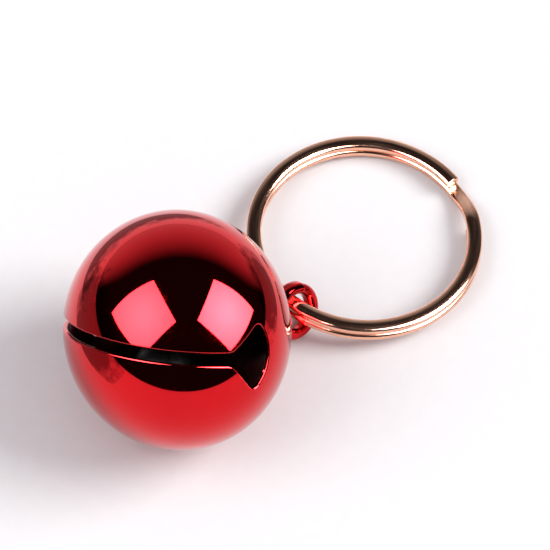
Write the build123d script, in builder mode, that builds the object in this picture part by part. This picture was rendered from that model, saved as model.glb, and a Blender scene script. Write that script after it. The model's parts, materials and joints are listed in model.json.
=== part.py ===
from build123d import *
from math import asin, cos, degrees, hypot, radians, sin, sqrt
import os

# A jingle bell ornament: a pressed sheet-metal shell with a slit mouth and a pierced eyelet,
# a loose steel pellet inside it, and a two-coil split ring through the eyelet. It lies on a
# surface as it comes to rest by itself: on its ball and on the rim of its eyelet.
# Millimetres, +Z up, origin where the ball touches the surface, eyelet towards +X.

# ---- shell ----
ball_radius = 10.0          # at the widest section, square to the bell's axis
mouth_depth = 9.3           # from the widest section to the pole that the slit crosses
crown_depth = 8.6           # from the widest section to where the pole under the neck would be
sheet = 0.4                 # wall of the pressed sheet
arc_steps = 12              # points along each curved half of the turned outline
shoulder_radius = 4.5       # distance from the axis where the crown turns into the neck's flare
neck_radius = 1.75          # at the neck's waist
neck_rise = 2.6             # from the crown's depth up to where the round neck is pinched flat

# ---- eyelet ----
eye_rise = 2.2              # from the start of the pinched neck to the middle of the eye
eye_clearance = 0.53        # between the ring's wire and the eye, when the wire is central
eyelet_rim = 1.0            # width of the rim round the eye
eyelet_thickness = 1.3
eyelet_rounding = 0.42      # on every edge of the eyelet's rim
eye_spread = 0.5            # how fast the eye widens past its land, where the neck is thicker

# ---- slit and the opening at each of its ends ----
slit_width = 1.1
opening_width = 6.1         # across the slit, before its corners are rounded
opening_top = 0.7           # towards the neck from the widest section
opening_shoulder = 0.35     # how far the opening's corners lie below the widest section
opening_bottom = 3.0        # where its slanted sides run into the slit
opening_corner = 0.6

# ---- pellet ----
pellet_radius = 3.0
pellet_gap = 0.2            # between the pellet and the wall that it rests on

# ---- split ring ----
ring_radius = 10.0
wire_width = 1.25           # across the wire, in the ring's plane
wire_height = 0.8           # of one coil
wire_rounding = 0.3
coil_gap = 0.05             # between the two coils
crank_angle = 24.0          # the stretch of ring over which the wire steps from coil to coil
wire_end_gap = 2.0          # degrees between the wire's cut end and the step beside it
crank_turn = 162.0          # from the eyelet round to the cut end of the upper coil
crank_sections = 7

# ---- how it lies ----
bell_roll = 35.0            # the bell's turn about its own axis, from its eye lying level
ring_yaw = 20.0             # the ring's swing to the side of the bell's axis
ring_pull = 0.3             # how far the ring lies drawn outwards in the eye
rest_gap = 0.03             # left under the eyelet's rim and under the far side of the ring

os.makedirs("parts", exist_ok=True)

# ---- sizes that follow ----
neck_height = crown_depth + neck_rise
eyelet_height = neck_height + eye_rise
# the two coils of wire pass through the eye together
wire_reach = wire_rounding + hypot(wire_width / 2 - wire_rounding,
                                   wire_height + coil_gap / 2 - wire_rounding)
eye_radius = wire_reach + eye_clearance
eyelet_radius = eye_radius + eyelet_rim
pinch_width = eyelet_radius + eye_radius
rim_rounding = min(eyelet_rounding, 0.45 * eyelet_rim, 0.45 * eyelet_thickness)


# ---- the lying attitude, from what touches the surface ----
def centre_height(tilt):
    """Height of the ball's middle when the bell's axis dips by tilt degrees."""
    return hypot(ball_radius * cos(radians(tilt)), crown_depth * sin(radians(tilt)))


def rim_drop(tilt):
    """How far the eyelet's rim reaches below the middle of its eye."""
    face_dip = sin(radians(bell_roll)) * cos(radians(tilt))
    in_plane = (eyelet_radius - rim_rounding) * sqrt(1 - face_dip**2)
    across = (eyelet_thickness / 2 - rim_rounding) * face_dip
    return in_plane + across + rim_rounding


axis_dip = 30.0
for _ in range(40):
    eye_height = rim_drop(axis_dip) + rest_gap
    axis_dip = degrees(asin((centre_height(axis_dip) - eye_height) / eyelet_height))

dip = radians(axis_dip)
roll = radians(bell_roll)
bell_axis = Vector(cos(dip), 0, -sin(dip))
bell_up = Vector(sin(dip), 0, cos(dip))
bell_side = Vector(0, -1, 0) * cos(roll) + bell_up * sin(roll)
foot_shift = sin(dip) * cos(dip) * (ball_radius**2 - crown_depth**2) / centre_height(axis_dip)
ball_centre = Vector(foot_shift, 0, centre_height(axis_dip))

# Z along the bell's axis to the eyelet, X through the eye and through both openings
bell = Plane(origin=ball_centre, x_dir=bell_side, z_dir=bell_axis)
bell_section = Plane(origin=ball_centre, x_dir=bell.x_dir, z_dir=-bell.y_dir)
bell_face = Plane(origin=ball_centre, x_dir=bell.y_dir, z_dir=bell.x_dir)
eye_centre = ball_centre + bell_axis * eyelet_height
eye_section = Plane(origin=eye_centre, x_dir=bell.z_dir, z_dir=bell.y_dir)


# ---- shell ----
def flare(radius, depth, shoulder, neck):
    """The neck's concave arc: its start on the crown, and its centre and radius."""
    start = Vector(shoulder, depth * sqrt(1 - (shoulder / radius) ** 2))
    outward = Vector(start.X / radius**2, start.Y / depth**2).normalized()
    arc_radius = (shoulder - neck) / (1 - outward.X)
    return start, start + outward * arc_radius, arc_radius


def ellipse_arc(radius, depth, first, last):
    """A smooth arc on an ellipse about the ball's middle, between two angles in degrees."""
    angles = [radians(first + (last - first) * step / arc_steps)
              for step in range(arc_steps + 1)]
    points = [(radius * cos(angle), depth * sin(angle)) for angle in angles]
    headings = [(-radius * sin(angle), depth * cos(angle))
                for angle in (angles[0], angles[-1])]
    Spline(*points, tangents=headings)


def turned_outline(radius, mouth, crown, shoulder, neck, top, tip):
    """Half outline of the bell, from its mouth pole up to the neck, closed along the axis."""
    start, centre, arc_radius = flare(radius, crown, shoulder, neck)
    end = Vector(centre.X - sqrt(arc_radius**2 - (top - centre.Y) ** 2), top)
    halfway = (start + end) * 0.5 - centre
    shoulder_turn = degrees(asin(start.Y / crown))
    ellipse_arc(radius, mouth, -90, 0)
    ellipse_arc(radius, crown, 0, shoulder_turn)
    ThreePointArc(start, centre + halfway.normalized() * arc_radius, end)
    Polyline(end, (0, tip), (0, -mouth))
    return end.X


with BuildPart() as bell_shell:
    # the shell's outside, turned
    with BuildSketch(bell_section):
        with BuildLine():
            neck_top_radius = turned_outline(ball_radius, mouth_depth, crown_depth,
                                             shoulder_radius, neck_radius,
                                             neck_height, neck_height)
        make_face()
    revolve(axis=Axis(ball_centre, bell_axis))
    # the neck, pinched flat towards the eye
    with BuildSketch(bell.offset(neck_height)):
        Circle(neck_top_radius)
    with BuildSketch(bell.offset(eyelet_height)):
        Ellipse(eyelet_thickness / 2, pinch_width / 2)
    loft()
    # the eyelet's rim
    with BuildSketch(eye_section):
        with Locations(((eyelet_radius + eye_radius) / 2, 0)):
            RectangleRounded(eyelet_radius - eye_radius, eyelet_thickness, rim_rounding)
    revolve(axis=Axis(eye_centre, bell_side))
    # the eye, opening out towards both faces where the neck is thicker than the rim
    eye_land = eyelet_thickness / 2 - rim_rounding
    eye_reach = eye_land + 2 * neck_radius
    eye_mouth = eye_radius + 2 * neck_radius * eye_spread
    with BuildSketch(eye_section):
        Polygon((0, -eye_reach), (eye_mouth, -eye_reach), (eye_radius, -eye_land),
                (eye_radius, eye_land), (eye_mouth, eye_reach), (0, eye_reach), align=None)
    revolve(axis=Axis(eye_centre, bell_side), mode=Mode.SUBTRACT)
    # the hollow, running a little way up into the neck
    with BuildSketch(bell_section):
        with BuildLine():
            turned_outline(ball_radius - sheet, mouth_depth - sheet, crown_depth - sheet,
                           shoulder_radius * (1 - sheet / ball_radius), neck_radius - sheet,
                           neck_height - 2 * sheet, neck_height - sheet)
        make_face()
    revolve(axis=Axis(ball_centre, bell_axis), mode=Mode.SUBTRACT)
    # the slit round the mouth pole, and the opening that ends it on each side
    with BuildSketch(bell_face):
        with BuildLine():
            corner = Vector(opening_width / 2, -opening_shoulder)
            mirrored_corner = Vector(-corner.X, corner.Y)
            ThreePointArc(mirrored_corner, (0, opening_top), corner)
            Polyline(corner, (slit_width / 2, -opening_bottom), (slit_width / 2, -ball_radius),
                     (-slit_width / 2, -ball_radius), (-slit_width / 2, -opening_bottom),
                     mirrored_corner)
        make_face()
        outline_points = vertices().sort_by(Axis.X)
        fillet([outline_points[0], outline_points[-1]], opening_corner)
    extrude(amount=ball_radius, both=True, mode=Mode.SUBTRACT)

# ---- pellet ----
# It rests on the lowest point of the hollow, where the wall is level.
hollow_radius = ball_radius - sheet
hollow_depth = crown_depth - sheet
hollow_reach = hypot(hollow_radius * cos(dip), hollow_depth * sin(dip))
pellet_lift = pellet_radius + pellet_gap
pellet_out = hollow_radius**2 * cos(dip) / hollow_reach - pellet_lift * cos(dip)
pellet_along = hollow_depth**2 * sin(dip) / hollow_reach - pellet_lift * sin(dip)
pellet_centre = ball_centre - bell_up * pellet_out + bell_axis * pellet_along
pellet_plane = Plane(origin=pellet_centre)

with BuildPart(pellet_plane) as pellet:
    Sphere(pellet_radius)

# ---- split ring ----
# Its near side passes through the eye and its far side lies on the surface.
coil_rise = (wire_height + coil_gap) / 2
wire_circle = ring_radius - wire_width / 2
yaw = radians(ring_yaw)
level_reach = Vector(cos(yaw), sin(yaw), 0)
thread_point = eye_centre + level_reach * ring_pull
ring_dip = 0.0
for _ in range(20):
    far_drop = ((wire_width / 2 - wire_rounding) * sin(radians(ring_dip))
                + (wire_height + coil_gap / 2 - wire_rounding) * cos(radians(ring_dip))
                + wire_rounding)
    ring_dip = degrees(asin((thread_point.Z - far_drop - rest_gap) / (2 * wire_circle)))

ring_reach = level_reach * cos(radians(ring_dip)) - Vector(0, 0, 1) * sin(radians(ring_dip))
ring_normal = level_reach * sin(radians(ring_dip)) + Vector(0, 0, 1) * cos(radians(ring_dip))
ring_centre = thread_point + ring_reach * wire_circle
ring_hinge = Vector(0, 0, 1).cross(level_reach) * -1
ring_plane = Plane(origin=ring_centre, x_dir=-ring_reach, z_dir=ring_normal)
ring_axis = Axis(ring_centre, ring_normal)


def wire_section(turn, height):
    """The plane square to the wire, turn degrees round from the eyelet, at a height."""
    outward = ring_plane.x_dir * cos(radians(turn)) + ring_plane.y_dir * sin(radians(turn))
    middle = ring_centre + outward * wire_circle + ring_normal * height
    return Plane(origin=middle, x_dir=outward, z_dir=outward.cross(ring_normal) * -1)


def step_height(share):
    """Height of the wire's middle along the step, easing out of one coil and into the other."""
    return coil_rise * cos(radians(180 * share))


with BuildPart() as split_ring:
    # the upper coil, from its cut end round to the step
    with BuildSketch(wire_section(crank_turn + wire_end_gap, coil_rise)):
        RectangleRounded(wire_width, wire_height, wire_rounding)
    revolve(axis=ring_axis, revolution_arc=360 - crank_angle - wire_end_gap)
    # the lower coil, from the step round to its own cut end
    with BuildSketch(wire_section(crank_turn, -coil_rise)):
        RectangleRounded(wire_width, wire_height, wire_rounding)
    revolve(axis=ring_axis, revolution_arc=360 - crank_angle - wire_end_gap)
    # the step between them
    for index in range(crank_sections):
        share = index / (crank_sections - 1)
        with BuildSketch(wire_section(crank_turn - crank_angle * (1 - share),
                                      step_height(share))):
            RectangleRounded(wire_width, wire_height, wire_rounding)
    loft()

# ---- files ----
pieces = {"bell_shell": bell_shell, "pellet": pellet, "split_ring": split_ring}
for name, piece in pieces.items():
    piece.part.label = name
    export_step(piece.part, f"parts/{name}.step")
    print(name, round(piece.part.volume, 2), piece.part.bounding_box())

print("axis dip", axis_dip, "ball centre", ball_centre, "eye", eye_centre)
print("thread point", thread_point, "ring hinge", ring_hinge, "ring centre", ring_centre)
print("pellet centre", pellet_centre, "bell axis", bell_axis, "ring dip", ring_dip)
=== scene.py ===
import json
import math

import bpy
import numpy as np
from mathutils import Matrix, Vector
from mathutils.geometry import delaunay_2d_cdt


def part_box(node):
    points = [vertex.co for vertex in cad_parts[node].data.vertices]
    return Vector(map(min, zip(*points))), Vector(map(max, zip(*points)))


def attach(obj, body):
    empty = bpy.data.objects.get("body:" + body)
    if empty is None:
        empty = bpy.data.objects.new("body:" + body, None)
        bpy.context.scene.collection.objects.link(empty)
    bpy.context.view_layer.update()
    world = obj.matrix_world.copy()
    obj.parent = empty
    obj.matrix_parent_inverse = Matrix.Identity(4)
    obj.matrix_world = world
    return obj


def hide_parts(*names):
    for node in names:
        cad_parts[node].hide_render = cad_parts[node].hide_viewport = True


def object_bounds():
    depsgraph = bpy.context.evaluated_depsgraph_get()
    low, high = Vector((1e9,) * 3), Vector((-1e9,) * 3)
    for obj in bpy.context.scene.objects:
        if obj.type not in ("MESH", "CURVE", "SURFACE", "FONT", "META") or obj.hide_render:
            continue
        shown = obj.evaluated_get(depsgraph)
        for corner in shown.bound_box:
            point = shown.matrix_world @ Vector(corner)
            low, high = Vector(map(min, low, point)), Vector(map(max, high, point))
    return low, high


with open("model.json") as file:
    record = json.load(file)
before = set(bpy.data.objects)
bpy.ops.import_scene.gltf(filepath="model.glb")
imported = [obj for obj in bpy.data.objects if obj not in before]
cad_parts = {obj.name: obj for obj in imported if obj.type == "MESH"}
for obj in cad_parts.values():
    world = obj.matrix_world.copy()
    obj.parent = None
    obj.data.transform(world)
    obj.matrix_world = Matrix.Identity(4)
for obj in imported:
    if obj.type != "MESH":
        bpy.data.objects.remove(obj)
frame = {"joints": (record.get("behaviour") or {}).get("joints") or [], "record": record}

cad_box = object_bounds()
MM = 0.001

# ---- the shell, in millimetres and degrees ----
SHEET = 0.4
MOUTH_DEPTH = 9.3
CROWN_DEPTH = 8.6
SHOULDER_RADIUS = 4.5
NECK_RADIUS = 1.75
NECK_BASE = 9.6             # where the neck's own mesh meets the ball's
NECK_ROOM = 3.3             # half the width of the block that holds the neck and the eyelet
EYE_HEIGHT = 13.4
EYE_RADIUS = 1.45
EYE_LAND = 0.23             # half the length of the eye before it widens
EYE_SPREAD = 0.5
RIM_WIDTH = 1.0
RIM_THICKNESS = 1.3
RIM_ROUNDING = 0.42
PINCH_START = 10.4
PINCH_END = 12.9
PINCH_THICKNESS = 1.24
RIM_BLEND = 0.5             # softness of the join between neck and rim
EYE_BLEND = 0.25
SLIT_WIDTH = 1.1
OPENING_WIDTH = 6.1
OPENING_TOP = 0.7
OPENING_SHOULDER = 0.35
OPENING_BOTTOM = 3.0
OPENING_CORNER = 0.85
SLIT_CORNER = 0.35
LIP_ROUNDING = 0.11
LIP_STEPS = 5
BELL_ROLL = 35.0            # the bell's turn about its own axis, from its eye lying level

# ---- the pellet and the ring, in millimetres and degrees ----
PELLET_BELT = 0.03          # how far the cold-headed ball's belt stands proud
WIRE_WIDTH = 1.25
WIRE_HEIGHT = 0.8
WIRE_ROUNDING = 0.22
WIRE_CROWN = 0.3            # share of the height lost from the wire's middle to its sides
COIL_GAP = 0.05
CRANK_ANGLE = 24.0
CRANK_TURN = 162.0
WIRE_END_GAP = 2.0
END_BEVEL = 0.09

# ---- fineness of the meshes, in millimetres ----
BALL_MESH = 0.42
LIP_MESH = 0.16
NECK_MESH = 0.09
POLE_GAP = 0.3              # the chart of the ball stops this far from the mouth pole
MESH_GROWTH = 0.22          # how fast the ball's mesh coarsens away from the neck
ROW_SPACING = 0.87          # between the rows of the ball's mesh, as a share of its gaps
CLEARANCE = 0.7             # of its points from the mouth, as a share of the same


# ---- where the pieces lie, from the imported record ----
record = frame["record"]
joints = {joint["name"]: joint for joint in frame["joints"]}
mounts = {mount["name"]: mount for mount in record["mounts"]}


def place_of(entry):
    """Position and unit axis of a joint or a mount, in metres."""
    return Vector(entry["pos_m"]), Vector(entry["axis"]).normalized()


def piece_frame(origin, x_axis, z_axis):
    """From a piece's own millimetres to metres in the shared frame."""
    y_axis = z_axis.cross(x_axis)
    turn = Matrix((x_axis, y_axis, z_axis)).transposed().to_4x4()
    return Matrix.Translation(origin) @ turn @ Matrix.Scale(MM, 4)


upright = Vector((0, 0, 1))
ball_centre, bell_axis = place_of(joints["pellet_roll"])
shell_low, shell_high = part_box("bell_shell")
BALL_RADIUS = (shell_high.y - shell_low.y) / 2 / MM
bell_up = (upright - bell_axis * upright.dot(bell_axis)).normalized()
roll = math.radians(BELL_ROLL)
bell_side = Vector((0, -1, 0)) * math.cos(roll) + bell_up * math.sin(roll)
bell_frame = piece_frame(ball_centre, bell_side, bell_axis)

thread_point = place_of(joints["ring_swing"])[0]
ring_centre, ring_normal = place_of(mounts["hanging_ring"])
ring_reach = thread_point - ring_centre
ring_reach = ring_reach - ring_normal * ring_reach.dot(ring_normal)
WIRE_CIRCLE = ring_reach.length / MM
ring_frame = piece_frame(ring_centre, ring_reach.normalized(), ring_normal)


# ---- meshes ----
def piece_mesh(name, points, faces, frame_of_piece, normals=None, values=None):
    """A finished piece at the origin, smooth, from points in its own millimetres."""
    turned = np.asarray(points) @ np.array(frame_of_piece.to_3x3()).T
    turned = turned + np.array(frame_of_piece.translation)
    mesh = bpy.data.meshes.new(name)
    mesh.from_pydata(turned.tolist(), [], faces)
    mesh.update()
    mesh.shade_smooth()
    for label, numbers in (values or {}).items():
        layer = mesh.attributes.new(label, "FLOAT", "POINT")
        layer.data.foreach_set("value", np.asarray(numbers, np.float32))
    if normals is not None:
        facing = np.asarray(normals) @ np.array(frame_of_piece.to_3x3()).T
        facing = facing / np.linalg.norm(facing, axis=1)[:, None]
        mesh.normals_split_custom_set_from_vertices(facing.tolist())
    piece = bpy.data.objects.new(name, mesh)
    bpy.context.scene.collection.objects.link(piece)
    return piece


def ease(share):
    """From 0 to 1 with no kink at either end."""
    share = np.clip(share, 0, 1)
    return share * share * (3 - 2 * share)


# ---- the shell's turned outline ----
shoulder = np.array((SHOULDER_RADIUS,
                     CROWN_DEPTH * math.sqrt(1 - (SHOULDER_RADIUS / BALL_RADIUS) ** 2)))
shoulder_normal = shoulder / np.array((BALL_RADIUS ** 2, CROWN_DEPTH ** 2))
shoulder_normal = shoulder_normal / np.linalg.norm(shoulder_normal)
FLARE_RADIUS = (SHOULDER_RADIUS - NECK_RADIUS) / (1 - shoulder_normal[0])
flare_centre = shoulder + shoulder_normal * FLARE_RADIUS


def flare(height):
    """Radius of the neck's flare at a height along the bell's axis."""
    below = np.minimum(height, flare_centre[1]) - flare_centre[1]
    return flare_centre[0] - np.sqrt(FLARE_RADIUS ** 2 - below ** 2)


def meridian(steps=2000):
    """The outline from near the mouth pole to the neck, and its chart depth.

    The chart depth grows by length over radius, so a pattern keeps its angles in the chart."""
    first = np.linspace(-math.acos(POLE_GAP / BALL_RADIUS), 0, steps, endpoint=False)
    second = np.linspace(0, math.asin(shoulder[1] / CROWN_DEPTH), steps, endpoint=False)
    start = math.atan2(-shoulder_normal[1], -shoulder_normal[0])
    end = -math.pi + math.asin((flare_centre[1] - NECK_BASE) / FLARE_RADIUS)
    third = np.linspace(start, end, steps)
    radius = np.concatenate((BALL_RADIUS * np.cos(first), BALL_RADIUS * np.cos(second),
                             flare_centre[0] + FLARE_RADIUS * np.cos(third)))
    height = np.concatenate((MOUTH_DEPTH * np.sin(first), CROWN_DEPTH * np.sin(second),
                             flare_centre[1] + FLARE_RADIUS * np.sin(third)))
    tilt = np.concatenate((
        np.arctan2(np.sin(first) / MOUTH_DEPTH, np.cos(first) / BALL_RADIUS),
        np.arctan2(np.sin(second) / CROWN_DEPTH, np.cos(second) / BALL_RADIUS),
        np.arctan2(-np.sin(third), -np.cos(third))))
    length = np.hypot(np.diff(radius), np.diff(height))
    along = np.concatenate(((0,), np.cumsum(length)))
    depth = np.concatenate(((0,), np.cumsum(length / (radius[1:] + radius[:-1]) * 2)))
    return {"radius": radius, "height": height, "tilt": tilt, "along": along, "depth": depth}


outline = meridian()


def on_ball(depth, turn):
    """Points and outward normals on the ball at chart depths and turns about its axis."""
    radius, height, tilt = (np.interp(depth, outline["depth"], outline[key])
                            for key in ("radius", "height", "tilt"))
    points = np.stack((radius * np.cos(turn), radius * np.sin(turn), height), 1)
    normals = np.stack((np.cos(tilt) * np.cos(turn), np.cos(tilt) * np.sin(turn),
                        np.sin(tilt)), 1)
    return points, normals


def chart_place(points):
    """Chart depth and turn of points that lie on the ball."""
    depth = np.interp(points[:, 2], outline["height"], outline["depth"])
    return depth, np.arctan2(points[:, 1], points[:, 0])


def chart_flat(depth, turn):
    """The chart as a flat drawing, with the mouth pole in its middle."""
    reach = np.exp(depth - outline["depth"][-1] / 2)
    return np.stack((reach * np.cos(turn), reach * np.sin(turn)), 1)


# ---- the outline of the slit and of the opening at each of its ends ----
def track(points):
    """Length along a line of points, at each of them."""
    steps = np.linalg.norm(np.diff(points, axis=0), axis=1)
    return np.concatenate(((0,), np.cumsum(steps)))


def along_track(points, places):
    """Points at given lengths along a line of points."""
    length = track(points)
    return np.stack([np.interp(places, length, points[:, k])
                     for k in range(points.shape[1])], 1)


def round_corner(points, corner, reach, steps=12):
    """A line of points with one corner eased over the given reach to each side."""
    length = track(points)
    middle = length[np.argmin(np.linalg.norm(points - corner, axis=1))]
    first, last = along_track(points, np.array((middle - reach, middle + reach)))
    share = np.linspace(0, 1, steps)[:, None]
    bend = (1 - share) ** 2 * first + 2 * share * (1 - share) * corner + share ** 2 * last
    return np.concatenate((points[length < middle - reach], bend,
                           points[length > middle + reach]))


def mouth_quarter():
    """A quarter of the mouth's outline, from an opening's top to the slit at the pole."""
    corner = np.array((OPENING_WIDTH / 2, -OPENING_SHOULDER))
    join = np.array((SLIT_WIDTH / 2, -OPENING_BOTTOM))
    rise = OPENING_TOP + OPENING_SHOULDER
    arc_radius = (corner[0] ** 2 + rise ** 2) / (2 * rise)
    turns = np.linspace(0, math.asin(corner[0] / arc_radius), 80)
    arc = np.stack((arc_radius * np.sin(turns),
                    OPENING_TOP - arc_radius * (1 - np.cos(turns))), 1)
    slope = corner + (join - corner) * np.linspace(0, 1, 80)[1:, None]
    end = join - np.array((0, SLIT_CORNER * 2))
    drop = join + (end - join) * np.linspace(0, 1, 40)[1:, None]
    line = np.concatenate((arc, slope, drop))
    line = round_corner(line, corner, OPENING_CORNER)
    line = round_corner(line, join, SLIT_CORNER)
    total = track(line)[-1]
    line = along_track(line, np.linspace(0, total, round(total / LIP_MESH) + 1))
    depths = np.where(line[:, 1] > 0, CROWN_DEPTH, MOUTH_DEPTH)
    around = BALL_RADIUS ** 2 * (1 - (line[:, 1] / depths) ** 2) - line[:, 0] ** 2
    opening = np.stack((np.sqrt(around), line[:, 0], line[:, 1]), 1)
    half = SLIT_WIDTH / 2
    reach = math.sqrt(BALL_RADIUS ** 2 - half ** 2)
    depth = MOUTH_DEPTH * math.sqrt(1 - (half / BALL_RADIUS) ** 2)
    start = math.asin(-end[1] / depth)
    steps = round((math.pi / 2 - start) * depth / LIP_MESH / 1.6)
    sweep = np.linspace(start, math.pi / 2, steps + 1)[1:]
    slit = np.stack((reach * np.cos(sweep), np.full(steps, half), -depth * np.sin(sweep)), 1)
    return np.concatenate((opening, slit))


def mouth_loop():
    """The mouth's whole outline on the ball, once round."""
    quarter = mouth_quarter()
    back = quarter[::-1]
    return np.concatenate((quarter, back[1:] * (-1, 1, 1), quarter[1:] * (-1, -1, 1),
                           back[1:-1] * (1, -1, 1)))


def lip_rows(loop):
    """The rounded lip swept round the outline: points and normals, row by row inwards."""
    _, normals = on_ball(*chart_place(loop))
    tangents = np.roll(loop, -1, 0) - np.roll(loop, 1, 0)
    into_metal = np.cross(normals, tangents)
    into_metal = into_metal / np.linalg.norm(into_metal, axis=1)[:, None]
    widest = np.argmax(loop[:, 1])
    if into_metal[widest, 1] < 0:
        into_metal = -into_metal
    outer = np.radians(np.linspace(90, 180, LIP_STEPS))
    inner = np.radians(np.linspace(180, 270, LIP_STEPS))
    rows = [(LIP_ROUNDING, -LIP_ROUNDING, turn) for turn in outer]
    rows += [(LIP_ROUNDING, LIP_ROUNDING - SHEET, turn) for turn in inner]
    points, facing = [], []
    for back, drop, turn in rows:
        across = back + LIP_ROUNDING * math.cos(turn)
        down = drop + LIP_ROUNDING * math.sin(turn)
        points.append(loop + into_metal * across + normals * down)
        facing.append(into_metal * math.cos(turn) + normals * math.sin(turn))
    outside, outside_normals = on_ball(*chart_place(points[0]))
    points[0] = outside
    facing[0] = outside_normals
    points[-1] = outside - outside_normals * SHEET
    facing[-1] = -outside_normals
    return points, facing, into_metal


# ---- the neck and the eyelet, as one level surface ----
def smooth_least(first, second, softness):
    """The lesser of two fields, with their join rounded."""
    near = np.maximum(softness - np.abs(first - second), 0) / softness
    return np.minimum(first, second) - near * near * softness / 4


def neck_field(points):
    """Below zero in the metal of the neck and the eyelet's rim, above zero outside."""
    x, y, z = points[..., 0], points[..., 1], points[..., 2]
    pinch = ease((z - PINCH_START) / (PINCH_END - PINCH_START))
    thick = flare(z) * (1 - pinch) + PINCH_THICKNESS / 2 * pinch
    wide = flare(z) * (1 - pinch) + (EYE_RADIUS + RIM_WIDTH / 2) * pinch
    neck = (np.hypot(x / thick, y / wide) - 1) * np.minimum(thick, wide)
    neck = np.maximum(neck, z - EYE_HEIGHT)
    from_eye = np.hypot(y, z - EYE_HEIGHT)
    side = np.abs(from_eye - EYE_RADIUS - RIM_WIDTH / 2) - (RIM_WIDTH / 2 - RIM_ROUNDING)
    face = np.abs(x) - (RIM_THICKNESS / 2 - RIM_ROUNDING)
    rim = (np.hypot(np.maximum(side, 0), np.maximum(face, 0))
           + np.minimum(np.maximum(side, face), 0) - RIM_ROUNDING)
    metal = smooth_least(neck, rim, RIM_BLEND)
    eye = from_eye - EYE_RADIUS - EYE_SPREAD * np.maximum(np.abs(x) - EYE_LAND, 0)
    return -smooth_least(-metal, eye, EYE_BLEND)


def slope_of(field, points, step=1e-4):
    """The field's gradient at points."""
    return np.stack([(field(points + offset) - field(points - offset)) / (2 * step)
                     for offset in np.eye(3) * step], -1)


def surface_net(field, low, high, step):
    """Four-sided faces over the level surface of a field: one point in each cell it crosses."""
    counts = np.ceil((high - low) / step).astype(int) + 1
    grid = np.stack(np.meshgrid(*[low[k] + step * np.arange(counts[k]) for k in range(3)],
                                indexing="ij"), -1)
    solid = field(grid) < 0
    corners = sum(solid[i:counts[0] - 1 + i, j:counts[1] - 1 + j, k:counts[2] - 1 + k].astype(int)
                  for i in (0, 1) for j in (0, 1) for k in (0, 1))
    crossed = (corners > 0) & (corners < 8)
    index = np.full(crossed.shape, -1)
    index[crossed] = np.arange(crossed.sum())
    cells = np.argwhere(crossed)
    faces = []
    for axis in range(3):
        first, second = np.eye(3, dtype=int)[(axis + 1) % 3], np.eye(3, dtype=int)[(axis + 2) % 3]
        start = np.take(solid, np.arange(counts[axis] - 1), axis)
        end = np.take(solid, np.arange(1, counts[axis]), axis)
        edges = np.argwhere(start != end)
        for other in ((axis + 1) % 3, (axis + 2) % 3):
            edges = edges[(edges[:, other] > 0) & (edges[:, other] < counts[other] - 1)]
        leaving = start[tuple(edges.T)]
        ring = [index[tuple((edges - shift).T)]
                for shift in (0 * first, first, first + second, second)]
        quads = np.stack(ring, 1)
        quads[~leaving] = quads[~leaving][:, ::-1]
        faces.append(quads)
    return low + (cells + 0.5) * step, np.concatenate(faces), cells[:, 2] == 0


def onto_level(field, points, rounds=6):
    """Points moved down the field's slope onto its level surface."""
    for _ in range(rounds):
        slope = slope_of(field, points)
        steep = np.maximum((slope ** 2).sum(-1), 0.04)
        points = points - slope * (field(points) / steep)[:, None]
    return points


def evened(field, points, faces, fixed, rounds=8):
    """A net on a level surface with its points spread evenly, and its fixed points left."""
    pairs = np.concatenate([faces[:, (k, (k + 1) % 4)] for k in range(4)])
    for _ in range(rounds):
        total = np.zeros_like(points)
        count = np.zeros(len(points))
        np.add.at(total, pairs[:, 0], points[pairs[:, 1]])
        np.add.at(count, pairs[:, 0], 1)
        middle = total / np.maximum(count, 1)[:, None]
        middle[fixed] = points[fixed]
        points = onto_level(field, points + (middle - points) * 0.5, 2)
        points[fixed] = middle[fixed]
    return points


def open_edge(faces):
    """The points of a net's one open edge, in order."""
    pairs = np.concatenate([faces[:, (k, (k + 1) % 4)] for k in range(4)])
    forward = {(int(a), int(b)) for a, b in pairs}
    following = {b: a for a, b in forward if (b, a) not in forward}
    loop = [next(iter(following))]
    while following[loop[-1]] != loop[0]:
        loop.append(following[loop[-1]])
    return np.array(loop)


def neck_mesh():
    """Points, normals, faces and open edge of the neck and the eyelet."""
    low = np.array((-NECK_ROOM, -NECK_ROOM, NECK_BASE))
    top = EYE_HEIGHT + EYE_RADIUS + RIM_WIDTH + 2 * NECK_MESH
    points, faces, bottom = surface_net(neck_field, low,
                                        np.array((NECK_ROOM, NECK_ROOM, top)), NECK_MESH)
    points = onto_level(neck_field, points)
    turn = np.arctan2(points[bottom, 1], points[bottom, 0])
    base = flare(NECK_BASE)
    points[bottom] = np.stack((base * np.cos(turn), base * np.sin(turn),
                               np.full(len(turn), NECK_BASE)), 1)
    points = evened(neck_field, points, faces, bottom)
    normals = slope_of(neck_field, points)
    normals = normals / np.linalg.norm(normals, axis=1)[:, None]
    return points, normals, faces, open_edge(faces)


# ---- the ball's surface between the mouth and the neck ----
def within(points, loop):
    """Which points of a flat drawing lie within a closed loop."""
    inside = np.zeros(len(points), bool)
    x, y = points[:, 0], points[:, 1]
    for (ax, ay), (bx, by) in zip(loop, np.roll(loop, -1, 0)):
        if ay != by:
            spans = (ay > y) != (by > y)
            inside ^= spans & (x < (bx - ax) * (y - ay) / (by - ay) + ax)
    return inside


def far_from(points, others, gap):
    """Which points are at least a gap away from all the others."""
    keep = np.ones(len(points), bool)
    for other in others:
        keep &= ((points - other) ** 2).sum(1) > gap ** 2
    return keep


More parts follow.
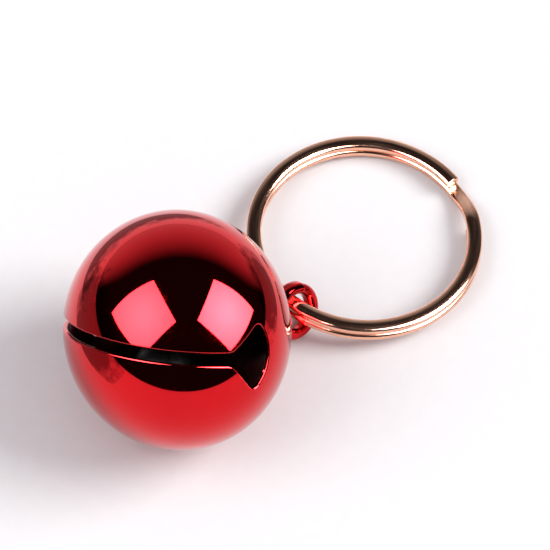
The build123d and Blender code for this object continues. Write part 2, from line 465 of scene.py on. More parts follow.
def ball_points(mouth, lip_turned):
    """Points spread over the ball's outside, clear of the mouth's lips and of the neck."""
    places, rows = outline["along"][-1], []
    finest = NECK_MESH * 1.3
    odd = False
    while places > 0:
        gap = min(BALL_MESH, finest + (outline["along"][-1] - places) * MESH_GROWTH)
        places -= gap * ROW_SPACING
        depth = np.interp(places, outline["along"], outline["depth"])
        radius = np.interp(places, outline["along"], outline["radius"])
        count = max(6, round(2 * math.pi * radius / gap))
        turn = (np.arange(count) + 0.5 * odd) * 2 * math.pi / count
        rows.append(np.stack((np.full(count, depth), turn), 1))
        odd = not odd
    spread = np.concatenate(rows)
    beside = mouth[::2] + lip_turned[::2] * BALL_MESH * 0.62
    depth, turn = chart_place(beside)
    points, _ = on_ball(spread[:, 0], spread[:, 1])
    clear = ~within(chart_flat(*spread.T), chart_flat(*chart_place(mouth)))
    clear &= far_from(points, on_ball(depth, turn)[0], BALL_MESH * CLEARANCE)
    clear &= far_from(points, mouth, BALL_MESH * CLEARANCE)
    return np.concatenate((np.stack((depth, turn), 1), spread[clear]))


def shell_piece():
    """The bell: the ball with its slit mouth, its inside, its neck and its eyelet."""
    neck_points, neck_normals, neck_faces, neck_loop = neck_mesh()
    mouth = mouth_loop()
    lips, lip_normals, into_metal = lip_rows(mouth)
    spread = ball_points(lips[0], into_metal)
    ball, ball_normals = on_ball(spread[:, 0], spread[:, 1])
    neck_edge = neck_points[neck_loop]
    edge_normals = neck_normals[neck_loop]

    blocks = [(neck_points, neck_normals), (ball, ball_normals)]
    blocks += list(zip(lips, lip_normals))
    blocks += [(ball - ball_normals * SHEET, -ball_normals),
               (neck_edge - edge_normals * SHEET, -edge_normals),
               (np.array(((0, 0, NECK_BASE + SHEET),)), np.array(((0, 0, -1.0),)))]
    starts = np.cumsum([0] + [len(points) for points, _ in blocks])
    points = np.concatenate([block[0] for block in blocks])
    normals = np.concatenate([block[1] for block in blocks])
    count = len(mouth)
    lip_start = starts[2:2 + len(lips)]
    inner_ball, inner_edge, tip = starts[2 + len(lips):5 + len(lips)]

    # the outside between the two loops, and the same net again a sheet's thickness in
    flat = np.concatenate((chart_flat(*chart_place(neck_edge)),
                           chart_flat(*chart_place(lips[0])), chart_flat(*spread.T)))
    loops = [(k, (k + 1) % len(neck_loop)) for k in range(len(neck_loop))]
    loops += [(len(neck_loop) + k, len(neck_loop) + (k + 1) % count) for k in range(count)]
    made = delaunay_2d_cdt([Vector(place) for place in flat], loops, [], 0, 1e-9, True)
    original = np.array([ids[0] for ids in made[3]])
    triangles = original[np.array(made[2])]
    middles = flat[triangles].mean(1)
    triangles = triangles[~within(middles, flat[len(neck_loop):len(neck_loop) + count])]
    outer = np.concatenate((neck_loop, lip_start[0] + np.arange(count),
                            starts[1] + np.arange(len(ball))))
    inner = np.concatenate((inner_edge + np.arange(len(neck_loop)),
                            lip_start[-1] + np.arange(count),
                            inner_ball + np.arange(len(ball))))
    faces = neck_faces.tolist() + facing_out(outer[triangles], points, normals)
    faces += facing_out(inner[triangles], points, normals)
    around = np.arange(count)
    ahead = (around + 1) % count
    for here, there in zip(lip_start[:-1], lip_start[1:]):
        strip = np.stack((here + around, here + ahead, there + ahead, there + around), 1)
        faces += facing_out(strip, points, normals)
    edge = inner_edge + np.arange(len(neck_loop))
    cap = np.stack((edge, np.roll(edge, -1), np.full(len(edge), tip)), 1)
    faces += facing_out(cap, points, normals)

    inside = np.zeros(len(points))
    inside[inner_ball:] = 1
    lip = np.zeros(len(points))
    for row, start in enumerate(lip_start):
        inside[start:start + count] = ease((row - LIP_STEPS + 1) / LIP_STEPS)
        lip[start:start + count] = 0 < row < LIP_STEPS + 1
    return piece_mesh("bell_shell_plated", points, faces, bell_frame, normals,
                      {"inside": inside, "lip": lip})


def facing_out(faces, points, normals):
    """Faces turned so that they point the way their points' normals do."""
    a, b, c = (points[faces[:, k]] for k in range(3))
    across = np.cross(b - a, c - a)
    wrong = (across * normals[faces].sum(1)).sum(1) < 0
    faces = faces.copy()
    faces[wrong] = faces[wrong][:, ::-1]
    return faces.tolist()


def pellet_piece():
    """The loose pellet: a cold-headed steel ball with a faint belt and small knocks."""
    low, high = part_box("pellet")
    middle = (low + high) / 2
    radius = (high - low).length / math.sqrt(12) / MM
    around, rows = 96, 64
    points, faces = [], []
    for row in range(1, rows):
        lift = math.pi * row / rows - math.pi / 2
        for step in range(around):
            turn = 2 * math.pi * step / around
            points.append((math.cos(lift) * math.cos(turn), math.cos(lift) * math.sin(turn),
                           math.sin(lift)))
    points += [(0, 0, -1), (0, 0, 1)]
    for row in range(rows - 2):
        for step in range(around):
            here, there = row * around + step, row * around + (step + 1) % around
            faces.append((here, there, there + around, here + around))
    bottom, top = len(points) - 2, len(points) - 1
    last = (rows - 2) * around
    faces += [(bottom, (step + 1) % around, step) for step in range(around)]
    faces += [(top, last + step, last + (step + 1) % around) for step in range(around)]
    unit = np.array(points)
    belt = np.exp(-(unit[:, 2] / 0.06) ** 2)
    knocks = np.zeros(len(unit))
    chance = np.random.default_rng(7)
    for _ in range(26):
        place = chance.normal(size=3)
        near = 1 - unit @ (place / np.linalg.norm(place))
        knocks += chance.uniform(0.006, 0.02) * np.exp(-near / chance.uniform(0.002, 0.006))
    reach = radius - PELLET_BELT + PELLET_BELT * belt - knocks
    lean = piece_frame(middle, bell_up, bell_axis)
    return piece_mesh("pellet_ball", unit * reach[:, None], faces, lean)


# ---- the split ring, as a node tree ----
def link(tree, source, target):
    """One socket's output carried to another."""
    tree.links.new(source, target)


def node(tree, kind, **settings):
    """A node with its properties set, and its inputs fed by values or by other sockets."""
    made = tree.nodes.new(kind)
    feeds = settings.pop("feeds", {})
    for key, value in settings.items():
        setattr(made, key, value)
    for key, value in feeds.items():
        socket = made.inputs[key]
        if isinstance(value, bpy.types.NodeSocket):
            link(tree, value, socket)
        else:
            socket.default_value = value
    return made


def maths(tree, kind, operation, first, second=0.0):
    """One sum of two numbers or sockets."""
    return node(tree, kind, operation=operation, feeds={0: first, 1: second}).outputs[0]


def ring_tree():
    """A tree that winds a split ring: two coils of flattened wire with one step between them."""
    tree = bpy.data.node_groups.new("wound_split_ring", "GeometryNodeTree")
    tree.interface.new_socket("Geometry", in_out="OUTPUT", socket_type="NodeSocketGeometry")
    sizes = (("Wire Circle", WIRE_CIRCLE), ("Wire Width", WIRE_WIDTH),
             ("Wire Height", WIRE_HEIGHT), ("Wire Rounding", WIRE_ROUNDING),
             ("Wire Crown", WIRE_CROWN), ("Coil Gap", COIL_GAP),
             ("Start Angle", CRANK_TURN + WIRE_END_GAP), ("Step Angle", CRANK_ANGLE),
             ("End Gap", WIRE_END_GAP))
    for label, value in sizes:
        socket = tree.interface.new_socket(label, in_out="INPUT",
                                           socket_type="NodeSocketFloat")
        socket.default_value = value
    tree.interface.new_socket("Wire Finish", in_out="INPUT",
                              socket_type="NodeSocketMaterial")
    given = tree.nodes.new("NodeGroupInput").outputs
    sums = "ShaderNodeMath"

    # the path: an even line, bent round into the two coils
    line = node(tree, "GeometryNodeCurvePrimitiveLine", feeds={"End": (0, 0, 1)})
    path = node(tree, "GeometryNodeResampleCurve",
                feeds={"Curve": line.outputs[0], "Count": 620})
    share = node(tree, "GeometryNodeSplineParameter").outputs["Factor"]
    start = maths(tree, sums, "RADIANS", given["Start Angle"])
    step = maths(tree, sums, "RADIANS", given["Step Angle"])
    end_gap = maths(tree, sums, "RADIANS", given["End Gap"])
    two_turns = 4 * math.pi
    sweep = maths(tree, sums, "SUBTRACT", maths(tree, sums, "SUBTRACT", two_turns, step),
                  maths(tree, sums, "MULTIPLY", end_gap, 2.0))
    turn = maths(tree, sums, "ADD", start, maths(tree, sums, "MULTIPLY", share, sweep))
    step_end = maths(tree, sums, "SUBTRACT", maths(tree, sums, "ADD", start, 2 * math.pi),
                     end_gap)
    step_start = maths(tree, sums, "SUBTRACT", step_end, step)
    fall = node(tree, "ShaderNodeMapRange", clamp=True,
                feeds={"Value": turn, "From Min": step_start, "From Max": step_end,
                       "To Min": 0.0, "To Max": math.pi}).outputs[0]
    rise = maths(tree, sums, "MULTIPLY",
                 maths(tree, sums, "ADD", given["Wire Height"], given["Coil Gap"]), 0.5)
    place = node(tree, "ShaderNodeCombineXYZ", feeds={
        0: maths(tree, sums, "MULTIPLY", maths(tree, sums, "COSINE", turn),
                 given["Wire Circle"]),
        1: maths(tree, sums, "MULTIPLY", maths(tree, sums, "SINE", turn),
                 given["Wire Circle"]),
        2: maths(tree, sums, "MULTIPLY", maths(tree, sums, "COSINE", fall), rise)})
    wound = node(tree, "GeometryNodeSetPosition",
                 feeds={"Geometry": path.outputs[0], "Position": place.outputs[0]})
    level = node(tree, "GeometryNodeSetCurveNormal", mode="Z_UP",
                 feeds={"Curve": wound.outputs[0]})
    length = node(tree, "GeometryNodeSplineParameter").outputs["Length"]
    marked = node(tree, "GeometryNodeStoreNamedAttribute", data_type="FLOAT", domain="POINT",
                  feeds={"Geometry": level.outputs[0], "Name": "along", "Value": length})

    # the wire's section, with where each point lies on it
    square = node(tree, "GeometryNodeCurvePrimitiveQuadrilateral",
                  feeds={"Width": given["Wire Width"], "Height": given["Wire Height"]})
    rounded = node(tree, "GeometryNodeFilletCurve", mode="POLY",
                   feeds={"Curve": square.outputs[0], "Count": 7,
                          "Radius": given["Wire Rounding"], "Limit Radius": True})
    evenly = node(tree, "GeometryNodeResampleCurve",
                  feeds={"Curve": rounded.outputs[0], "Count": 60})
    spot = node(tree, "ShaderNodeSeparateXYZ",
                feeds={0: node(tree, "GeometryNodeInputPosition").outputs[0]}).outputs
    aside = maths(tree, sums, "DIVIDE", maths(tree, sums, "MULTIPLY", spot[0], 2.0),
                  given["Wire Width"])
    lost = maths(tree, sums, "MULTIPLY", maths(tree, sums, "MULTIPLY", aside, aside),
                 given["Wire Crown"])
    lower = maths(tree, sums, "MULTIPLY", maths(tree, sums, "MULTIPLY", spot[1], lost), -1.0)
    crowned = node(tree, "GeometryNodeSetPosition", feeds={
        "Geometry": evenly.outputs[0],
        "Offset": node(tree, "ShaderNodeCombineXYZ", feeds={1: lower}).outputs[0]})
    section = node(tree, "GeometryNodeStoreNamedAttribute", data_type="FLOAT_VECTOR",
                   domain="POINT",
                   feeds={"Geometry": crowned.outputs[0], "Name": "section",
                          "Value": node(tree, "GeometryNodeInputPosition").outputs[0]})
    wire = node(tree, "GeometryNodeCurveToMesh",
                feeds={"Curve": marked.outputs[0], "Profile Curve": section.outputs[0],
                       "Fill Caps": True})
    real = node(tree, "GeometryNodeRealizeInstances", feeds={"Geometry": wire.outputs[0]})
    painted = node(tree, "GeometryNodeSetMaterial",
                   feeds={"Geometry": real.outputs[0], "Material": given["Wire Finish"]})
    result = tree.nodes.new("NodeGroupOutput")
    link(tree, painted.outputs[0], result.inputs[0])
    return tree


def ring_piece(finish):
    """The split ring, wound by its tree, with the wire's cut ends eased, as a plain mesh."""
    former = bpy.data.objects.new("ring_former", bpy.data.meshes.new("ring_former"))
    bpy.context.scene.collection.objects.link(former)
    winding = former.modifiers.new("winding", "NODES")
    winding.node_group = ring_tree()
    names = {item.name: item.identifier
             for item in winding.node_group.interface.items_tree if item.in_out == "INPUT"}
    winding[names["Wire Finish"]] = finish
    ends = former.modifiers.new("eased_ends", "BEVEL")
    ends.width = END_BEVEL
    ends.segments = 3
    ends.limit_method = "ANGLE"
    ends.angle_limit = math.radians(50)
    ends.use_clamp_overlap = False
    bpy.context.view_layer.update()
    shown = former.evaluated_get(bpy.context.evaluated_depsgraph_get())
    mesh = bpy.data.meshes.new_from_object(shown)
    bpy.data.objects.remove(former)
    mesh.transform(ring_frame)
    mesh.name = "split_ring_wire"
    ring = bpy.data.objects.new("split_ring_wire", mesh)
    bpy.context.scene.collection.objects.link(ring)
    return ring


# ---- finishes ----
PER_MM = 1 / MM


def effect(name, inputs, outputs):
    """An empty shader group with named inputs and outputs."""
    group = bpy.data.node_groups.new(name, "ShaderNodeTree")
    for label, kind, value in inputs:
        socket = group.interface.new_socket(label, in_out="INPUT", socket_type=kind)
        if value is not None:
            socket.default_value = value
    for label, kind in outputs:
        group.interface.new_socket(label, in_out="OUTPUT", socket_type=kind)
    return group, group.nodes.new("NodeGroupInput").outputs, group.nodes.new("NodeGroupOutput")


def handling_marks():
    """Fine hairlines in two directions, specks of dust, and finger haze."""
    number, vector = "NodeSocketFloat", "NodeSocketVector"
    group, given, result = effect(
        "handling_marks",
        (("Place", vector, None), ("Hairline Size", number, 1.0), ("Hairlines", number, 0.3),
         ("Dust", number, 0.2), ("Haze Size", number, 6.0)),
        (("Hairlines", number), ("Dust", number), ("Haze", number)))
    sums = "ShaderNodeMath"
    found = []
    for turn, stretch in ((0.5, (1, 14, 14)), (2.1, (12, 1, 16))):
        spread = node(group, "ShaderNodeMapping",
                      feeds={"Vector": given["Place"], "Rotation": (turn, turn * 1.7, turn * 0.6),
                             "Scale": stretch})
        size = maths(group, sums, "DIVIDE", PER_MM * 0.35, given["Hairline Size"])
        lines = node(group, "ShaderNodeTexNoise",
                     feeds={"Vector": spread.outputs[0], "Scale": size, "Detail": 2.0,
                            "Roughness": 0.4})
        away = maths(group, sums, "ABSOLUTE",
                     maths(group, sums, "SUBTRACT", lines.outputs[0], 0.5))
        found.append(node(group, "ShaderNodeMapRange",
                          feeds={"Value": away, "From Min": 0.0, "From Max": 0.006,
                                 "To Min": 1.0, "To Max": 0.0}).outputs[0])
    patchy = node(group, "ShaderNodeTexNoise",
                  feeds={"Vector": given["Place"], "Scale": PER_MM * 0.22, "Detail": 3.0})
    patches = node(group, "ShaderNodeMapRange",
                   feeds={"Value": patchy.outputs[0], "From Min": 0.48,
                          "From Max": 0.62}).outputs[0]
    hairs = maths(group, sums, "MULTIPLY", maths(group, sums, "MAXIMUM", *found), patches)
    link(group, maths(group, sums, "MULTIPLY", hairs, given["Hairlines"]), result.inputs[0])
    cells = node(group, "ShaderNodeTexVoronoi",
                 feeds={"Vector": given["Place"], "Scale": PER_MM * 0.8})
    speck = node(group, "ShaderNodeMapRange",
                 feeds={"Value": cells.outputs["Distance"], "From Min": 0.035,
                        "From Max": 0.06, "To Min": 1.0, "To Max": 0.0}).outputs[0]
    drawn = node(group, "ShaderNodeSeparateColor", feeds={"Color": cells.outputs["Color"]})
    chosen = maths(group, sums, "LESS_THAN", drawn.outputs[0], given["Dust"])
    link(group, maths(group, sums, "MULTIPLY", speck, chosen), result.inputs[1])
    haze_size = maths(group, sums, "DIVIDE", PER_MM, given["Haze Size"])
    haze = node(group, "ShaderNodeTexNoise",
                feeds={"Vector": given["Place"], "Scale": haze_size, "Detail": 4.0,
                       "Roughness": 0.6, "Distortion": 0.4})
    link(group, haze.outputs[0], result.inputs[2])
    return group


def finish_base(name):
    """A new node material, with its Principled shader and the place on the object."""
    material = bpy.data.materials.new(name)
    material.use_nodes = True
    tree = material.node_tree
    shader = next(n for n in tree.nodes if n.type == "BSDF_PRINCIPLED")
    place = node(tree, "ShaderNodeTexCoord").outputs["Object"]
    return material, tree, shader, place


def blend_colours(tree, share, first, second):
    """Two colours mixed by a share."""
    return node(tree, "ShaderNodeMix", data_type="RGBA",
                feeds={0: share, 6: first, 7: second}).outputs[2]


def ramp(tree, value, low, high, bottom, top):
    """A number carried from one span to another."""
    return node(tree, "ShaderNodeMapRange",
                feeds={"Value": value, "From Min": low, "From Max": high,
                       "To Min": bottom, "To Max": top}).outputs[0]


def red_plating(marks_group):
    """Mirror plating under transparent red lacquer, thinner on the lips, and dull inside, where
    the colour is a painted shade, near black.
    """
    material, tree, shader, place = finish_base("red_plating")
    sums = "ShaderNodeMath"
    centred = node(tree, "ShaderNodeMapping",
                   feeds={"Vector": place, "Location": -ball_centre})
    marks = node(tree, "ShaderNodeGroup", node_tree=marks_group,
                 feeds={"Place": centred.outputs[0], "Hairline Size": 1.2, "Hairlines": 0.35,
                        "Dust": 0.12, "Haze Size": 7.0})
    inside = node(tree, "ShaderNodeAttribute", attribute_name="inside").outputs["Fac"]
    lip = node(tree, "ShaderNodeAttribute", attribute_name="lip").outputs["Fac"]
    lacquer = blend_colours(tree, ramp(tree, marks.outputs["Haze"], 0.3, 0.7, 0.0, 1.0),
                            (0.66, 0.0045, 0.0100, 1), (0.61, 0.0035, 0.0080, 1))
    lacquer = blend_colours(tree, maths(tree, sums, "MULTIPLY", lip, 0.6), lacquer,
                            (0.80, 0.045, 0.050, 1))
    dusty = blend_colours(tree, maths(tree, sums, "MULTIPLY", marks.outputs["Dust"], 0.5),
                          lacquer, (0.75, 0.30, 0.30, 1))
    # the inside: a painted shade, near black for the dark within the bell, mottled at random
    mottle = node(tree, "ShaderNodeTexNoise",
                  feeds={"Vector": centred.outputs[0], "Scale": PER_MM * 0.5, "Detail": 5.0})
    painted_inside_shade = blend_colours(tree, ramp(tree, mottle.outputs[0], 0.4, 0.62, 0.0, 1.0),
                         (0.050, 0.004, 0.005, 1), (0.075, 0.030, 0.028, 1))
    link(tree, blend_colours(tree, inside, dusty, painted_inside_shade), shader.inputs["Base Color"])
    shader.inputs["Metallic"].default_value = 1.0
    shader.inputs["Coat Weight"].default_value = 0.2
    shader.inputs["Coat Roughness"].default_value = 0.03
    gloss = ramp(tree, marks.outputs["Haze"], 0.35, 0.75, 0.018, 0.05)
    worn = maths(tree, sums, "MULTIPLY",
                 maths(tree, sums, "MAXIMUM", marks.outputs["Hairlines"], marks.outputs["Dust"]),
                 0.35)
    rough = maths(tree, sums, "ADD", maths(tree, sums, "ADD", gloss, worn),
                  maths(tree, sums, "MULTIPLY", inside, 0.32))
    link(tree, rough, shader.inputs["Roughness"])
    peel = node(tree, "ShaderNodeTexNoise",
                feeds={"Vector": centred.outputs[0], "Scale": PER_MM * 0.45, "Detail": 1.0})
    bump = node(tree, "ShaderNodeBump",
                feeds={"Strength": 1.0, "Distance": 0.006 * MM, "Height": peel.outputs[0]})
    link(tree, bump.outputs[0], shader.inputs["Normal"])
    return material


def rose_gold_wire(marks_group):
    """Rose gold plating on drawn wire, with faint draw lines along it."""
    material, tree, shader, place = finish_base("rose_gold_wire")
    sums = "ShaderNodeMath"
    marks = node(tree, "ShaderNodeGroup", node_tree=marks_group,
                 feeds={"Place": place, "Hairline Size": 0.6, "Hairlines": 0.6,
                        "Dust": 0.10, "Haze Size": 3.0})
    section = node(tree, "ShaderNodeAttribute", attribute_name="section").outputs["Vector"]
    along = node(tree, "ShaderNodeAttribute", attribute_name="along").outputs["Fac"]
    spread = node(tree, "ShaderNodeVectorMath", operation="SCALE",
                  feeds={0: section, "Scale": 14.0}).outputs[0]
    drift = node(tree, "ShaderNodeCombineXYZ",
                 feeds={2: maths(tree, sums, "MULTIPLY", along, 0.35)}).outputs[0]
    drawn = node(tree, "ShaderNodeTexNoise",
                 feeds={"Vector": node(tree, "ShaderNodeVectorMath", operation="ADD",
                                       feeds={0: spread, 1: drift}).outputs[0],
                        "Scale": 1.0, "Detail": 3.0})
    tint = blend_colours(tree, ramp(tree, marks.outputs["Haze"], 0.3, 0.7, 0.0, 1.0),
                         (0.950, 0.560, 0.410, 1), (0.880, 0.465, 0.320, 1))
    tint = blend_colours(tree, maths(tree, sums, "MULTIPLY", marks.outputs["Dust"], 0.6),
                         tint, (0.55, 0.42, 0.36, 1))
    link(tree, tint, shader.inputs["Base Color"])
    shader.inputs["Metallic"].default_value = 1.0
    rough = maths(tree, sums, "ADD", ramp(tree, drawn.outputs[0], 0.3, 0.7, 0.09, 0.17),
                  maths(tree, sums, "MULTIPLY", marks.outputs["Hairlines"], 0.2))
    link(tree, rough, shader.inputs["Roughness"])
    bump = node(tree, "ShaderNodeBump",
                feeds={"Strength": 1.0, "Distance": 0.004 * MM, "Height": drawn.outputs[0]})
    link(tree, bump.outputs[0], shader.inputs["Normal"])
    return material


def bare_steel(marks_group):
    """Dull bare steel with knocks, painted near black for the shade inside the bell, darker in
    random patches.
    """
    material, tree, shader, place = finish_base("bare_steel")
    sums = "ShaderNodeMath"
    marks = node(tree, "ShaderNodeGroup", node_tree=marks_group,
                 feeds={"Place": place, "Hairline Size": 0.5, "Hairlines": 0.9,
                        "Dust": 0.35, "Haze Size": 1.6})
    # near black: a painted shade for the pellet inside the bell, darker in random patches, with
    # rust specks on top
    painted_shade_steel = blend_colours(tree, ramp(tree, marks.outputs["Haze"], 0.42, 0.6, 0.0, 1.0),
                          (0.034, 0.032, 0.032, 1), (0.014, 0.013, 0.012, 1))
    painted_shade_and_rust = blend_colours(tree, maths(tree, sums, "MULTIPLY", marks.outputs["Dust"], 0.8),
                         painted_shade_steel, (0.020, 0.010, 0.006, 1))
    link(tree, painted_shade_and_rust, shader.inputs["Base Color"])
    shader.inputs["Metallic"].default_value = 1.0
    rough = maths(tree, sums, "ADD", ramp(tree, marks.outputs["Haze"], 0.35, 0.65, 0.34, 0.5),
                  maths(tree, sums, "MULTIPLY", marks.outputs["Hairlines"], -0.12))
    link(tree, rough, shader.inputs["Roughness"])
    bump = node(tree, "ShaderNodeBump",
                feeds={"Strength": 0.6, "Distance": 0.01 * MM,
                       "Height": marks.outputs["Hairlines"]})
    link(tree, bump.outputs[0], shader.inputs["Normal"])
    return material


# ---- the object ----
marks_group = handling_marks()

shell = shell_piece()
shell.data.materials.append(red_plating(marks_group))
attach(shell, "bell")
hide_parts("bell_shell")

pellet = pellet_piece()
pellet.data.materials.append(bare_steel(marks_group))
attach(pellet, "ball_pellet")
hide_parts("pellet")

ring = ring_piece(rose_gold_wire(marks_group))
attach(ring, "ring")
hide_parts("split_ring")


# ---- the camera ----
VIEW_TURN = math.radians(-32)
VIEW_LIFT = math.radians(60)
VIEW_DISTANCE = 0.6
VIEW_WIDTH = 0.046          # of what the camera sees at the object
VIEW_DROP = 0.003           # the view's middle lies this far under the object's
scene = bpy.context.scene
away = Vector((-math.sin(VIEW_TURN), math.cos(VIEW_TURN), 0))
right = Vector((away.y, -away.x, 0))
to_camera = upright * math.sin(VIEW_LIFT) - away * math.cos(VIEW_LIFT)
target = (cad_box[0] + cad_box[1]) / 2 - upright * VIEW_DROP


def placed(thing, spot, facing, axis="-Z"):
    """An object put at a spot in the scene, with one of its own axes pointed at a direction."""
    thing.location = spot
    thing.rotation_mode = "QUATERNION"
    thing.rotation_quaternion = facing.to_track_quat(axis, "Y")
    return thing


def added(name, data):
    """A new object in the scene."""
    made = bpy.data.objects.new(name, data)
    scene.collection.objects.link(made)
    return made


def seen_from_camera(sideways, backwards, upwards):
    """A direction given to the right, away from the camera and upwards."""
    return (right * sideways + away * backwards + upright * upwards).normalized()


camera = placed(added("camera", bpy.data.cameras.new("camera")),
                target + to_camera * VIEW_DISTANCE, -to_camera)
camera.data.lens = camera.data.sensor_width * VIEW_DISTANCE / VIEW_WIDTH
camera.data.clip_start = 0.05
camera.data.clip_end = 20
scene.camera = camera


# ---- the floor, the backdrop and the light ----
def flat_board(name, centre, across, upwards, width, height):
    """A board that faces along across x upwards."""
    corners = [centre + across * (a * width / 2) + upwards * (b * height / 2)
               for a, b in ((-1, -1), (1, -1), (1, 1), (-1, 1))]
    mesh = bpy.data.meshes.new(name)
    mesh.from_pydata([tuple(c) for c in corners], [], [(0, 1, 2, 3)])
    board = added(name, mesh)
    return board


def emptied(owner):
    """The node tree of a material or a world, with nothing in it."""
    owner.use_nodes = True
    owner.node_tree.nodes.clear()
    return owner.node_tree


FLOOR_WIDTH = 6.0
FIBRES_PER_METRE = 900.0
sums = "ShaderNodeMath"
floor = flat_board("floor", Vector((0, 0, 0)), right, away, FLOOR_WIDTH, FLOOR_WIDTH)
paper, tree, shader, place = finish_base("floor_paper")
fibre = node(tree, "ShaderNodeTexNoise", feeds={"Vector": place, "Scale": FIBRES_PER_METRE})
link(tree, blend_colours(tree, ramp(tree, fibre.outputs[0], 0.3, 0.7, 0.0, 1.0),
                         (0.90, 0.90, 0.90, 1), (0.885, 0.885, 0.885, 1)),
     shader.inputs["Base Color"])
shader.inputs["Roughness"].default_value = 0.9
shader.inputs["Specular IOR Level"].default_value = 0.1
floor.data.materials.append(paper)

ROOM_GLOW = 0.01            # what a mirror finds where there is no board and no lamp
BACKDROP_DISTANCE = 1.3
BACKDROP_HEIGHT = 1.7
BACKDROP_GLOW = 0.72        # low down; it fades to nothing at the top
BACKDROP_FADE = (0.0, 1.65)
BACKDROP_MIDDLE = 0.9       # to each side of the middle, before it fades sideways too
backdrop = flat_board("backdrop",
                      away * BACKDROP_DISTANCE + upright * (BACKDROP_HEIGHT / 2), right,
                      upright, FLOOR_WIDTH, BACKDROP_HEIGHT)
cloth = bpy.data.materials.new("backdrop_paper")
tree = emptied(cloth)
seen = node(tree, "ShaderNodeLightPath").outputs["Is Camera Ray"]
place = node(tree, "ShaderNodeTexCoord").outputs["Object"]
lift = node(tree, "ShaderNodeSeparateXYZ", feeds={0: place}).outputs[2]
fading = node(tree, "ShaderNodeMapRange", interpolation_type="SMOOTHSTEP",
              feeds={"Value": lift, "From Min": BACKDROP_FADE[0],
                     "From Max": BACKDROP_FADE[1], "To Min": BACKDROP_GLOW,
                     "To Max": 0.0}).outputs[0]
aside = node(tree, "ShaderNodeVectorMath", operation="DOT_PRODUCT", feeds={0: place, 1: right})
sides = node(tree, "ShaderNodeMapRange", interpolation_type="SMOOTHSTEP",
             feeds={"Value": maths(tree, sums, "ABSOLUTE", aside.outputs["Value"]),
                    "From Min": BACKDROP_MIDDLE, "From Max": FLOOR_WIDTH / 2, "To Min": 1.0,
                    "To Max": 0.0}).outputs[0]
fading = maths(tree, sums, "MULTIPLY", fading, sides)
least = ramp(tree, seen, 0.0, 1.0, ROOM_GLOW, 1.0)
glow = node(tree, "ShaderNodeEmission",
            feeds={"Strength": maths(tree, sums, "MAXIMUM", fading, least)})
node(tree, "ShaderNodeOutputMaterial", feeds={"Surface": glow.outputs[0]})
backdrop.data.materials.append(cloth)
backdrop.visible_shadow = False
backdrop.visible_diffuse = False

# dark cards with ragged edges beside the object, seen only by what mirrors them
CARD_COVER = 0.72
card_paint = bpy.data.materials.new("card_paint")
tree = emptied(card_paint)
place = node(tree, "ShaderNodeTexCoord").outputs
ragged = node(tree, "ShaderNodeTexNoise",
              feeds={"Vector": place["Object"], "Scale": PER_MM * 0.13, "Detail": 3.0,
                     "Roughness": 0.6})
span = node(tree, "ShaderNodeMapping",
            feeds={"Vector": place["Generated"], "Location": (-1, -1, 0), "Scale": (2, 2, 0)})
out = node(tree, "ShaderNodeVectorMath", operation="LENGTH",
           feeds={0: span.outputs[0]}).outputs["Value"]
edge = maths(tree, sums, "ADD", out, ramp(tree, ragged.outputs[0], 0.3, 0.7, -0.25, 0.25))
cover = ramp(tree, edge, 0.55, 0.95, CARD_COVER, 0.0)
clear = node(tree, "ShaderNodeBsdfTransparent")
dark = node(tree, "ShaderNodeEmission", feeds={"Strength": 0.0})
mixed = node(tree, "ShaderNodeMixShader",
             feeds={0: cover, 1: clear.outputs[0], 2: dark.outputs[0]})
node(tree, "ShaderNodeOutputMaterial", feeds={0: mixed.outputs[0]})

# name, direction, and in millimetres: distance, width, height, height of the middle
for name, sideways, backwards, gap, width, height, middle in (
        ("card_left", -1.0, 0.0, 32, 60, 34, 9.6),
        ("card_right", 0.9, 0.45, 44, 60, 34, 9.6),
        ("card_back", -0.45, 0.9, 36, 84, 22, 3.0)):
    towards = seen_from_camera(sideways, backwards, 0)
    card = flat_board(name, Vector((0, 0, 0)), Vector((1, 0, 0)), Vector((0, 1, 0)),
                      width * MM, height * MM)
    card.data.materials.append(card_paint)
    placed(card, ball_centre + towards * gap * MM, -towards, "Z")
    card.location.z = middle * MM
    card.visible_camera = False
    card.visible_diffuse = False
    card.visible_shadow = False

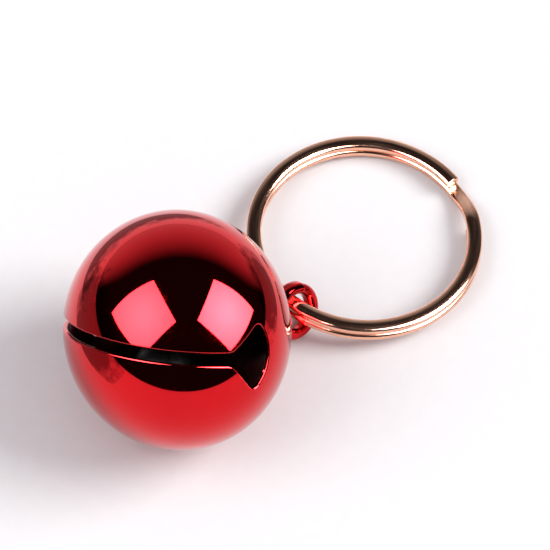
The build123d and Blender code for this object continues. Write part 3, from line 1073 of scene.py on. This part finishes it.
# two softboxes, seen only by what mirrors them
SOFTBOX_DISTANCE = 0.5
SOFTBOX_SIZE = 0.445
SOFTBOX_GLOW = (1.15, 0.6)  # shares of its radiance in the middle and at the corners
SOFTBOX_SPILL = 0.08        # the share of them that the floor gets by way of a mirror
for name, reach, turn, radiance in (
        ("softbox_left", (-0.670, -0.210, 0.715), 8, 14.0),
        ("softbox_right", (0.670, -0.150, 0.727), -9, 24.0)):
    towards = seen_from_camera(*reach)
    lamp = bpy.data.lights.new(name, "AREA")
    lamp.shape = "SQUARE"
    lamp.size = SOFTBOX_SIZE
    lamp.energy = radiance * math.pi * SOFTBOX_SIZE ** 2
    lamp.use_nodes = True
    tree = lamp.node_tree
    bounced = maths(tree, sums, "GREATER_THAN",
                    node(tree, "ShaderNodeLightPath").outputs["Diffuse Depth"], 0.5)
    shine = next(n for n in tree.nodes if n.type == "EMISSION")
    spot = node(tree, "ShaderNodeNewGeometry").outputs["Parametric"]
    off = node(tree, "ShaderNodeVectorMath", operation="DISTANCE",
               feeds={0: spot, 1: (0.5, 0.5, 0)}).outputs["Value"]
    hot = ramp(tree, off, 0.1, 0.7, *SOFTBOX_GLOW)
    spill = ramp(tree, bounced, 0.0, 1.0, 1.0, SOFTBOX_SPILL)
    link(tree, maths(tree, sums, "MULTIPLY", hot, spill), shine.inputs["Strength"])
    box = placed(added(name, lamp), ball_centre + towards * SOFTBOX_DISTANCE, -towards)
    box.rotation_quaternion @= Matrix.Rotation(math.radians(turn), 3, "Z").to_quaternion()
    box.visible_diffuse = False
    box.visible_camera = False

# soft light on the floor, which nothing mirrors
for name, reach, strength, spread in (
        ("fill_left", (-0.64, -0.2, 0.74), 0.85, 42),
        ("fill_right", (0.76, 0.04, 0.65), 2.5, 34),
        ("fill_top", (0.0, -0.3, 1.0), 0.6, 80)):
    lamp = bpy.data.lights.new(name, "SUN")
    lamp.energy = strength
    lamp.angle = math.radians(spread)
    fill = placed(added(name, lamp), (0, 0, 0), -seen_from_camera(*reach))
    fill.visible_glossy = False

AMBIENT = 0.25
AMBIENT_TINT = (1.0, 0.87, 1.0, 1)
scene.world = bpy.data.worlds.new("studio")
tree = emptied(scene.world)
light_path = node(tree, "ShaderNodeLightPath").outputs
seen = light_path["Is Camera Ray"]
strength = ramp(tree, light_path["Is Glossy Ray"], 0.0, 1.0, AMBIENT, ROOM_GLOW)
strength = maths(tree, sums, "MAXIMUM", strength, seen)
tint = blend_colours(tree, seen, AMBIENT_TINT, (1.0, 1.0, 1.0, 1))
surround = node(tree, "ShaderNodeBackground", feeds={"Color": tint, "Strength": strength})
node(tree, "ShaderNodeOutputWorld", feeds={"Surface": surround.outputs[0]})

scene.view_settings.view_transform = "Standard"
